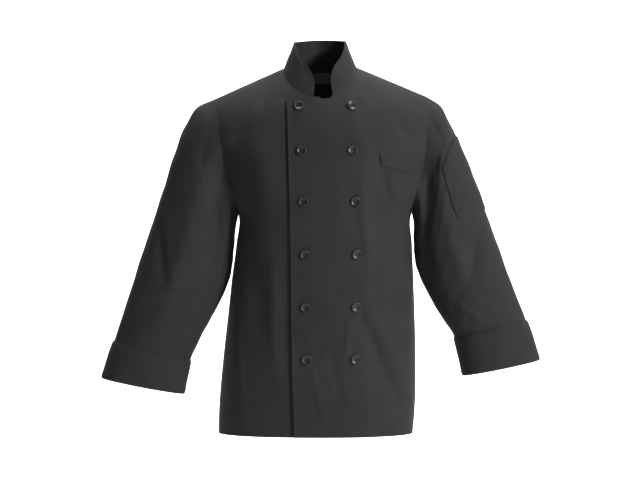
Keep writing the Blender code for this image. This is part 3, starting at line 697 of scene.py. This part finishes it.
@dataclass
class Body:
    """Back and fronts, as fine grids that share their seams."""

    rows_below: int = 84
    rows_above: int = 48
    side: int = 40
    neck: int = 18
    past: int = 26
    collar_right: float = 79.0
    collar_left: float = 70.0

    def side_shares(self) -> Array:
        """Shares of the half width from side seam to neck point: sines of even angles."""
        return np.sin(np.linspace(np.pi / 2, np.arcsin(NECK_HALF_WIDTH / TIP_WIDTH), self.side + 1))

    def neck_shares(self) -> Array:
        """Shares from the neck point to the middle: cosines of even angles."""
        return NECK_HALF_WIDTH / TIP_WIDTH * np.cos(np.linspace(0, np.pi / 2, self.neck + 1)[1:])

    def points(self, columns: list[Callable], tops: Array, sign: float, front: bool, lift: Callable) -> Array:
        """Rows rise evenly to the underarm, then by cosines round the armhole, up each column.

        Args:
            columns: gives each column's place across from its heights.
            tops: height of each column's upper end.
            sign: side of the shoulder tip, 1 for left and -1 for right.
            front: whether the panel is a front.
            lift: gives how far each place stands off the oval.

        Returns:
            The panel's grid.
        """
        tip = float(shoulder_z(np.array(sign * TIP_WIDTH)))
        underarm = (UNDERARM_Z - HEM_Z) / (tip - HEM_Z)
        turn = (1 - np.cos(np.linspace(0, np.pi, self.rows_above + 1))) / 2
        below = np.linspace(0, underarm, self.rows_below + 1)
        shares = np.concatenate([below, underarm + (1 - underarm) * turn[1:]])
        z = HEM_Z + (tops[None] - HEM_Z) * shares[:, None]
        x = np.stack([column(z[:, number]) for number, column in enumerate(columns)], axis=1)
        return body_surface(x, z, front, lift(x, z))

    def share(self, share: float) -> Callable:
        """A column at a fixed share of the half width."""
        return lambda z: share * panel_half_width(np.sign(share) + z * 0, z)

    def back(self) -> Array:
        """Grid of the back, from the right side seam to the left.

        Returns:
            The back's grid.
        """
        shares = np.concatenate([self.side_shares(), self.neck_shares()])
        shares = np.concatenate([-shares, shares[-2::-1]])
        tops = neckline_z(shares * TIP_WIDTH, False)
        return self.points([self.share(share) for share in shares], tops, 1.0, False, lambda x, z: x * 0)

    def front(self, side: Side) -> Array:
        """Grid of a front: fixed shares to the middle, then even steps to its free edge.

        Args:
            side: which front.

        Returns:
            The front's grid.
        """
        shares = side.value * np.concatenate([self.side_shares(), self.neck_shares()])
        edge = "under_edge" if side is Side.RIGHT else "lap_edge"
        parts = np.linspace(0, 1, self.past + 1)[1:]
        columns = [self.share(share) for share in shares]
        columns += [lambda z, part=part: part * smooth(LAP["z"], LAP[edge], z) for part in parts]
        tops = neckline_z(shares * TIP_WIDTH, True)
        if side is Side.RIGHT:
            tops = np.concatenate([tops, neckline_z(parts * LAP["under_edge"][-1], True) - 0.004])
            return self.points(columns, tops, -1.0, True, lambda x, z: x * 0)
        level = NECK_HALF_WIDTH * np.cos(np.radians(self.collar_left))
        tops = np.concatenate([tops, parts * 0 + LAP_TOP_Z])
        tops[: len(shares)][shares * TIP_WIDTH < level] = LAP_TOP_Z
        return self.points(columns, tops, 1.0, True, self.lift)

    def lift(self, x: Array, z: Array) -> Array:
        """The left front's height over the right, with a proud, slightly wavy free edge.

        Args:
            x: places across the body.
            z: heights of the same places.

        Returns:
            How far each place stands off the oval.
        """
        edge = smooth(LAP["z"], LAP["under_edge"], z) + 0.004
        free = x - smooth(LAP["z"], LAP["lap_edge"], z)
        waver = 0.6 + 0.4 * rumple(z, z * 0, 0.05, 9)
        proud = (0.0016 + 0.0020 * fade((z + 0.72) / 0.45)) * np.exp(-free / LAP_EDGE_SOFTNESS) * waver
        near_stitches = np.exp(-(((free - 0.010) / LAP_EDGE_SOFTNESS) ** 2))
        pucker = 0.0005 * near_stitches * np.sin(z * CYCLE / LAP_PUCKER_PITCH + 3 * np.sin(z * 31))
        return LAP_LIFT * fade((x - edge) / 0.030) + proud + pucker

    def normals(self, grid: Array, front: bool) -> Array:
        """Outward normals, away from the middle line of the body.

        Args:
            grid: the panel's points.
            front: whether the panel is a front.

        Returns:
            A normal for each point.
        """
        towards = grid * np.array([0.65, 1.0, 1.0]) + np.array([0.0, -0.02 if front else 0.02, 0.02])
        towards[..., 2] = np.where(grid[..., 2] > -0.2, 0.02, 0.0)
        return grid_normals(grid, towards)


@dataclass
class Sleeve:
    """A sleeve and its turned-back cuff."""

    side: Side
    stations: int = 150
    cuff_from: float = 0.872
    cap_reach: float = 0.30

    def angles(self, count: int) -> Array:
        """Even angles round the sleeve, from its outer edge to the front."""
        return np.arange(count) * 360.0 / count

    def ovals(self, along: Array, angles: Array) -> Array:
        """Tilted ovals: the middle, plus cosine times the half width, plus sine times the depth.

        Args:
            along: share of the sleeve's length, 0 at the shoulder.
            angles: degrees round the sleeve.

        Returns:
            A grid with one oval in each row.
        """
        rows = SLEEVES[self.side]
        value = {name: smooth(rows["along"], rows[name], along) for name in SLEEVE_COLUMNS[1:]}
        sign = self.side.value
        outer, inner = (np.stack([sign * value[f"{edge}_x"], -value["forward"], value[f"{edge}_z"]], axis=-1)
                        for edge in ("outer", "inner"))
        turn = np.radians(angles)
        depth = (np.sin(turn)[None] * value["half_depth"][:, None])[..., None] * np.array([0.0, -1.0, 0.0])
        width = np.cos(turn)[None, :, None] * ((outer - inner) / 2)[:, None]
        return ((outer + inner) / 2)[:, None] + width + depth

    def relief(self, along: Array, angles: Array) -> Array:
        """Creases along the sleeve, seam puckers at the cuff and a slight all-over rumple.

        Args:
            along: share of the sleeve's length, 0 at the shoulder.
            angles: degrees round the sleeve.

        Returns:
            The height of the relief at each place.
        """
        height = np.zeros((len(along), len(angles)))
        for fold in SLEEVE_FOLDS[self.side]:
            named = dict(zip(SLEEVE_FOLD_COLUMNS, fold))
            part = (along - named["along0"]) / (named["along1"] - named["along0"])
            path = named["angle0"] + (named["angle1"] - named["angle0"]) * part
            away = (angles[None] - path[:, None] + 180) % 360 - 180
            ends = fade(np.abs(part - 0.5) * 2 - 0.35)
            height += named["height"] * ends[:, None] * np.exp(-((away / named["width"]) ** 2))
        turn = np.radians(angles)[None]
        wave = rumple(np.cos(turn) * 0.09 + along[:, None] * 0.35, np.sin(turn) * 0.07, 0.06, 11)
        puckers = np.exp(-(((angles[None] - 165) / 14) ** 2)) * np.sin(along[:, None] * CYCLE / 0.016)
        near_cuff = fade((0.97 - along[:, None]) / 0.14)
        quiet = 1 - fade(along[:, None] / 0.06)
        return height + quiet * (0.0010 * wave + 0.0007 * puckers * near_cuff)

    def grid(self, loop: Array) -> Array:
        """The ovals drawn onto the armhole's ring at the top, with the creases laid on them.

        Args:
            loop: the armhole's points, from the shoulder tip down the front and up the back.

        Returns:
            The sleeve's grid.
        """
        along = np.linspace(0, 1, self.stations + 1)
        angles = self.angles(len(loop))
        grid = self.ovals(along, angles)
        grid = grid + fade(along / self.cap_reach)[:, None, None] * (loop - grid[0])
        return grid + self.relief(along, angles)[..., None] * self.normals(grid)

    def normals(self, grid: Array) -> Array:
        """Outward normals, away from each ring's middle."""
        return grid_normals(grid, grid - grid.mean(axis=1, keepdims=True), ring=True)


def declare(piece: bpy.types.Object, nodes: list[str]) -> None:
    """Rides a piece on the jacket and hides the solids that it replaces.

    Args:
        piece: the finished object.
        nodes: the solids that it replaces.
    """
    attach(piece, "root")
    if nodes:
        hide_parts(*nodes)
    LOG.info("made %s", piece.name)


@dataclass
class Jacket:
    """The whole jacket: builds each sub-assembly in turn."""

    cloth: bpy.types.Material
    plastic: bpy.types.Material
    label: bpy.types.Material
    thread: bpy.types.Material
    tab: bpy.types.Material
    body: Body = field(default_factory=Body)
    stitching: Stitching = field(default_factory=Stitching)

    def build(self) -> None:
        """Builds the panels, sleeves, collar, pockets, labels, buttons and stitching."""
        body = self.body
        grids = {"back_panel": body.back(), "right_front": body.front(Side.RIGHT),
                 "left_front": body.front(Side.LEFT)}
        normals = {name: body.normals(grid, name != "back_panel") for name, grid in grids.items()}
        for name, grid in grids.items():
            inner = grid - normals[name] * CLOTH
            declare(wall(f"{name}_cloth", grid, inner, self.cloth), [name])
        self.body_stitches(grids, normals)
        for side, front in ((Side.RIGHT, "right_front"), (Side.LEFT, "left_front")):
            self.sleeve(side, grids[front], grids["back_panel"])
        self.collar(grids)
        self.welt(grids["left_front"], normals["left_front"])
        self.buttons(grids["left_front"], normals["left_front"])
        self.neck_label(grids["back_panel"], normals["back_panel"])
        declare(self.stitching.make("topstitching", self.thread), [])

    def body_stitches(self, grids: dict[str, Array], normals: dict[str, Array]) -> None:
        """Hem, lap edge and facing topstitching.

        Args:
            grids: the three panels' grids, by name.
            normals: their outward normals.
        """
        for name, grid in grids.items():
            row = np.full(grid.shape[1], HEM_FOLD_SHARE * self.body.rows_below)
            column = np.arange(grid.shape[1], dtype=float)
            self.stitching.along(on_grid(grid, row, column), on_grid(normals[name], row, column))
        grid, normal = grids["left_front"], normals["left_front"]
        rows = np.arange(grid.shape[0], dtype=float)
        for inset in (1.1, 4.2):
            column = np.full(len(rows), grid.shape[1] - 1 - inset)
            self.stitching.along(on_grid(grid, rows, column), on_grid(normal, rows, column))
        seam_x = FACING_X - FACING_SLOPE * (grid[..., 2] - FACING_Z)
        facing = np.argmin(np.abs(grid[..., 0] - seam_x), axis=1).astype(float)
        facing = np.convolve(np.pad(facing, 6, mode="edge"), np.ones(13) / 13, mode="valid")
        keep = rows < grid.shape[0] - 4
        rows, facing = rows[keep], facing[keep]
        self.stitching.along(on_grid(grid, rows, facing), on_grid(normal, rows, facing))

    def sleeve(self, side: Side, front: Array, back: Array) -> None:
        """One sleeve with its cuff, armhole topstitching and, on the left, the pen pocket and tab.

        Args:
            side: which sleeve.
            front: grid of the front on that side.
            back: grid of the back.
        """
        maker, name = Sleeve(side), side.name.lower()
        edge = 0 if side is Side.RIGHT else -1
        below = self.body.rows_below
        loop = np.concatenate([front[: below - 1 : -1, 0], back[below + 1 : -1, edge]])
        grid = maker.grid(loop)
        normals = maker.normals(grid)
        cloth = wall(f"{name}_sleeve_cloth", grid, grid - normals * CLOTH, self.cloth, ring=True)
        declare(cloth, [f"{name}_sleeve"])
        first = int(maker.cuff_from * maker.stations)
        band, out = grid[first:], normals[first:]
        rise = np.linspace(0, 1, len(band))[:, None, None]
        base = band + out * PATCH_SEAT
        roll = CUFF_ROLL * np.sqrt(np.clip(1 - ((rise - 0.5) / 0.5) ** 8, 0.0, 1.0)) + CUFF_EDGE
        face = base + out * roll
        cuff = wall(f"{name}_cuff_cloth", face, base, self.cloth, ring=True)
        declare(cuff, [f"{name}_cuff"])
        for seam, seam_out in ((face, out), (grid, normals)):
            for row in (1, 3):
                self.stitching.along(closed(seam[row]), closed(seam_out[row]))
        if side is Side.LEFT:
            self.pocket(maker, grid, normals)

    def pocket(self, maker: Sleeve, grid: Array, normals: Array) -> None:
        """The pen pocket and its tab: skins over the sleeve's own points, with stitched divisions.

        Args:
            maker: the left sleeve's sizes.
            grid: the sleeve's grid.
            normals: its outward normals.
        """
        half = grid.shape[1] // 2
        turned, out = np.roll(grid, half, axis=1), np.roll(normals, half, axis=1)
        column = np.linspace(*POCKET_ANGLES, 56) / 360.0 * grid.shape[1] + half
        part = np.linspace(0, 1, 56)
        top, foot = ((start + rise * part) * maker.stations for start, rise in (POCKET_TOP, POCKET_FOOT))
        down = np.linspace(0, 1, 60)[:, None]
        rows, over = top[None] * (1 - down) + foot[None] * down, np.repeat(column[None], 60, axis=0)
        base, away = on_grid(turned, rows, over), unit(on_grid(out, rows, over))
        face = base + away * POCKET_FACE
        piece = wall("sleeve_pocket_cloth", face, base + away * LABEL_SEAT, self.cloth)
        declare(piece, ["sleeve_pocket"])
        for number in (2, 20, 37, 53):
            self.stitching.along(face[:, number], away[:, number])
        for number in (2, 7, 57):
            self.stitching.along(face[number], away[number])
        rows, over = np.meshgrid(np.linspace(*TAB_ALONG, 8) * maker.stations,
                                 np.linspace(*TAB_ANGLES, 8) / 360.0 * grid.shape[1] + half, indexing="ij")
        base, away = on_grid(turned, rows, over), unit(on_grid(out, rows, over))
        piece = wall("sleeve_label_cloth", base + away * TAB_FACE, base + away * LABEL_SEAT, self.tab)
        declare(piece, ["sleeve_label"])

    def collar(self, grids: dict[str, Array]) -> None:
        """The stand collar: the neck's edge raised and leant in, its front ends rounded off.

        Args:
            grids: the three panels' grids, by name.
        """
        side, neck = self.body.side, self.body.neck
        right = side + int(round(self.body.collar_right / 90 * neck))
        left = side + int(round(self.body.collar_left / 90 * neck))
        base = np.concatenate([grids["right_front"][-1, side : right + 1][::-1],
                               grids["back_panel"][-1, side + 1 : side + 2 * neck],
                               grids["left_front"][-1, side : left + 1]])
        walk = arc_lengths(base)
        even = np.linspace(0, walk[-1], 170)
        base = along_path(even, walk, base) - np.array([0, 0, COLLAR_SINK])
        into = np.clip(1 - np.minimum(even, even[-1] - even) / COLLAR_ROUNDING, 0.0, 1.0)
        height = COLLAR_HEIGHT - COLLAR_ROUNDING * (1 - np.sqrt(1 - into**2))
        share = np.linspace(0, 1, 26)[:, None] * (height / COLLAR_HEIGHT)[None]
        lean = (base * np.array(COLLAR_LEAN) - base)[None] * share[..., None]
        grid = base[None] + lean + np.array([0, 0, COLLAR_HEIGHT]) * share[..., None]
        normal = grid_normals(grid, grid * np.array([1.0, 1.0, 0.0]))
        grid = grid + normal * (0.0009 * rumple(even[None] + share * 0, share * 0.05, 0.04, 21))[..., None]
        piece = wall("collar_cloth", grid, grid - normal * COLLAR_WALL, self.cloth)
        declare(piece, ["collar"])
        for row in (2, 23):
            self.stitching.along(grid[row], normal[row])
        for column in (4, -5):
            self.stitching.along(grid[2:24, column], normal[2:24, column])

    def place(self, grid: Array, x: float, z: float) -> tuple[Array, Array]:
        """Fractional row and column of a place on a panel, in short steps from its nearest point.

        Args:
            grid: the panel's grid.
            x: the place across the body.
            z: its height.

        Returns:
            The row and the column.
        """
        nearest = np.argmin(np.hypot(grid[..., 0] - x, grid[..., 2] - z))
        here = np.array(np.unravel_index(nearest, grid.shape[:2]), float)
        for _ in range(12):
            at, down, over = (on_grid(grid, np.array(here[0] + a), np.array(here[1] + b))[[0, 2]]
                              for a, b in ((0, 0), (0.3, 0), (0, 0.3)))
            slopes = np.stack([down - at, over - at], 1) / 0.3
            steps = np.linalg.solve(slopes, np.array([x, z]) - at)
            here = np.clip(here + 0.6 * steps, 0, np.array(grid.shape[:2]) - 1.4)
        return np.array(here[0]), np.array(here[1])

    def welt(self, grid: Array, normals: Array) -> None:
        """The breast pocket's welt: a folded strip between four corners on the front.

        Args:
            grid: the left front's grid.
            normals: its outward normals.
        """
        corners = [self.place(grid, *spot) for spot in WELT_CORNERS]
        over, down = np.meshgrid(np.linspace(0, 1, 50), np.linspace(0, 1, 22))
        rows, columns = between(corners, over, down)
        base, away = on_grid(grid, rows, columns), unit(on_grid(normals, rows, columns))
        roll = (WELT_ROLL * np.clip(1 - (2 * down - 1) ** 6, 0.15, 1.0))[..., None]
        face = base + away * (PATCH_SEAT + roll)
        piece = wall("chest_pocket_welt_cloth", face, base + away * PATCH_SEAT, self.cloth)
        declare(piece, ["chest_pocket_welt"])
        for row in (2, 4, 18):
            self.stitching.along(face[row], away[row])
        for column in (2, 47):
            self.stitching.along(face[2:20, column], away[2:20, column])

    def buttons(self, grid: Array, normals: Array) -> None:
        """Twelve buttons, each turned on its own axis, square to the cloth beneath it.

        Args:
            grid: the left front's grid.
            normals: its outward normals.
        """
        for number, row in enumerate(BUTTON_ROWS, 1):
            named = dict(zip(BUTTON_COLUMNS, row))
            for side in ("right", "left"):
                at = self.place(grid, named[f"{side}_x"], named["z"])
                out = unit(on_grid(normals, *at))
                piece = Button().make(f"{side}_{number}", on_grid(grid, *at), out, self.plastic)
                declare(piece, [f"button_{side}_{number}"])
                across = unit(np.cross([0.0, 0.0, 1.0], out))
                up = np.cross(out, across)
                for shift in (-0.0016, 0.0016):
                    start = on_grid(grid, *at) + out * 0.0028 + across * shift - up * 0.0016
                    line = start + np.linspace(0, 1, 3)[:, None] * up * 0.0036
                    self.stitching.along(line, np.repeat(out[None], 3, axis=0))

    def neck_label(self, grid: Array, normals: Array) -> None:
        """The woven label inside the back neck.

        Args:
            grid: the back's grid.
            normals: its outward normals.
        """
        corners = [self.place(grid, x, z) for z in NECK_LABEL_Z for x in NECK_LABEL_X]
        over, down = np.meshgrid(np.linspace(0, 1, 12), np.linspace(0, 1, 10))
        rows, columns = between(corners, over, down)
        inner, away = on_grid(grid, rows, columns), -unit(on_grid(normals, rows, columns))
        base = inner + away * (CLOTH + PATCH_SEAT)
        piece = wall("neck_label_cloth", base + away * 0.0009, base, self.label)
        declare(piece, ["neck_label"])


@dataclass(frozen=True)
class Button:
    """A rimmed round button: a profile turned about its axis."""

    radius: float = 0.0100
    thickness: float = 0.0030
    seat: float = 0.0008
    sides: int = 48

    def make(self, name: str, place: Array, out: Array, finish: bpy.types.Material) -> bpy.types.Object:
        """Turns the profile: a rounded foot and rim, then a dished face.

        Args:
            name: which button.
            place: the point of the cloth under its middle.
            out: the direction it faces.
            finish: its material.

        Returns:
            The button as an object.
        """
        bend = np.linspace(-np.pi / 2, np.pi / 2, 9)
        rim_radius = self.thickness / 2
        rim = np.stack([self.radius - rim_radius + rim_radius * np.cos(bend),
                        rim_radius + rim_radius * np.sin(bend)], -1)
        face = np.array([[self.radius - 0.0026, self.thickness * 0.94],
                         [self.radius - 0.0034, self.thickness * 0.66],
                         [self.radius * 0.35, self.thickness * 0.56],
                         [0.00004, self.thickness * 0.56]])
        profile = np.concatenate([[[0.00004, 0.0]], rim, face])
        turn = np.arange(self.sides) * 2 * np.pi / self.sides
        spun = np.stack([profile[:, :1] * np.cos(turn), profile[:, :1] * np.sin(turn),
                         np.repeat(profile[:, 1:], self.sides, axis=1)], -1)
        index = np.arange(len(profile) * self.sides).reshape(len(profile), self.sides)
        after = np.roll(index, -1, axis=1)
        quads = np.stack([index[:-1], after[:-1], after[1:], index[1:]], -1).reshape(-1, 4)
        faces = [*quads, index[0][::-1], index[-1]]
        first = unit(np.cross([0.0, 0.0, 1.0], out))
        turned = spun.reshape(-1, 3) @ np.stack([first, np.cross(out, first), out])
        return add_mesh(f"button_{name}_turned", turned + place + out * self.seat, faces, finish)


@dataclass(frozen=True)
class Studio:
    """A pale floor that sweeps up behind, soft lights and the camera."""

    floor_z: float = -0.95
    eye_z: float = -0.3510
    distance: float = 4.0
    lens: float = 109.7

    def build(self) -> None:
        """Adds the floor, lights, world and camera."""
        bend = np.linspace(0, np.pi / 2, 16)
        sweep = np.stack([3.0 + 2 * np.sin(bend), 2 - 2 * np.cos(bend)], -1)
        path = np.concatenate([[[-12.0, 0.0]], sweep, [[5.0, 9.0]]])
        across = np.array([-9.0, 9.0])
        points = np.stack([np.repeat(across[:, None], len(path), 1), np.tile(path[:, 0], (2, 1)),
                           np.tile(path[:, 1] + self.floor_z, (2, 1))], -1)
        steps = np.arange(len(path) - 1)
        faces = np.stack([steps, steps + 1, steps + 1 + len(path), steps + len(path)], -1)
        pale = bpy.data.materials.new("pale_floor")
        pale.use_nodes = True
        shader = pale.node_tree.nodes["Principled BSDF"]
        shader.inputs["Base Color"].default_value = (0.90, 0.90, 0.90, 1.0)
        shader.inputs["Roughness"].default_value = 0.9
        floor = add_mesh("floor", points.reshape(-1, 3), faces, pale)
        self.light("key", (3.0, -2.6, 1.3), 0.8, 330.0)
        self.light("fill", (0.5, -3.6, 1.4), 1.4, 12.0)
        self.light("back_wall", (0.0, 1.2, 3.6), 3.0, 700.0, (0.0, 5.0, 0.0))
        world = bpy.data.worlds.new("studio")
        world.use_nodes = True
        world.node_tree.nodes["Background"].inputs["Color"].default_value = (1.0, 1.0, 1.0, 1.0)
        world.node_tree.nodes["Background"].inputs["Strength"].default_value = 0.05
        bpy.context.scene.world = world
        bpy.context.scene.view_settings.view_transform = "Standard"
        camera = bpy.data.objects.new("camera", bpy.data.cameras.new("camera"))
        camera.data.lens = self.lens
        camera.location = (0.0, -self.distance, self.eye_z)
        camera.rotation_euler = (np.pi / 2, 0.0, 0.0)
        bpy.context.scene.collection.objects.link(camera)
        bpy.context.scene.camera = camera

    def light(self, name: str, place: tuple[float, float, float], size: float, power: float,
              target: tuple[float, float, float] = (0.0, 0.0, -0.35)) -> None:
        """A soft square light turned to its target, the jacket's middle unless another is given.

        Args:
            name: the light's name.
            place: where it stands.
            size: length of its side.
            power: its power in watts.
            target: the point it faces.
        """
        data = bpy.data.lights.new(name, "AREA")
        data.size, data.energy = size, power
        lamp = bpy.data.objects.new(name, data)
        lamp.location = place
        aim = np.array(target) - np.array(place)
        lamp.rotation_euler = (float(np.arctan2(np.hypot(aim[0], aim[1]), -aim[2])), 0.0,
                               float(np.arctan2(aim[1], aim[0]) - np.pi / 2))
        bpy.context.scene.collection.objects.link(lamp)


def main() -> None:
    """Builds the finishes, the jacket and the studio, in order."""
    logging.basicConfig(level=logging.INFO, format="%(name)s: %(message)s")
    cloth = ClothFinish("black_twill", (0.0085, 0.0077, 0.0070), (0.0200, 0.0188, 0.0180)).make()
    plastic = PlasticFinish("button_plastic_gloss", (0.0075, 0.0072, 0.0072)).make()
    label = ClothFinish("label_weave", (0.050, 0.056, 0.066), (0.095, 0.105, 0.120),
                        roughness=0.7, sheen=0.05, weave=0.5).make()
    thread = ClothFinish("black_thread", (0.012, 0.011, 0.010), (0.026, 0.0245, 0.0232),
                         roughness=0.6, sheen=0.05, weave=0.2).make()
    tab = ClothFinish("tab_weave", (0.004, 0.004, 0.004), (0.012, 0.011, 0.010),
                      roughness=0.6, sheen=0.02, weave=0.5).make()
    Jacket(cloth, plastic, label, thread, tab).build()
    Studio().build()


if __name__ == "__main__":
    main()
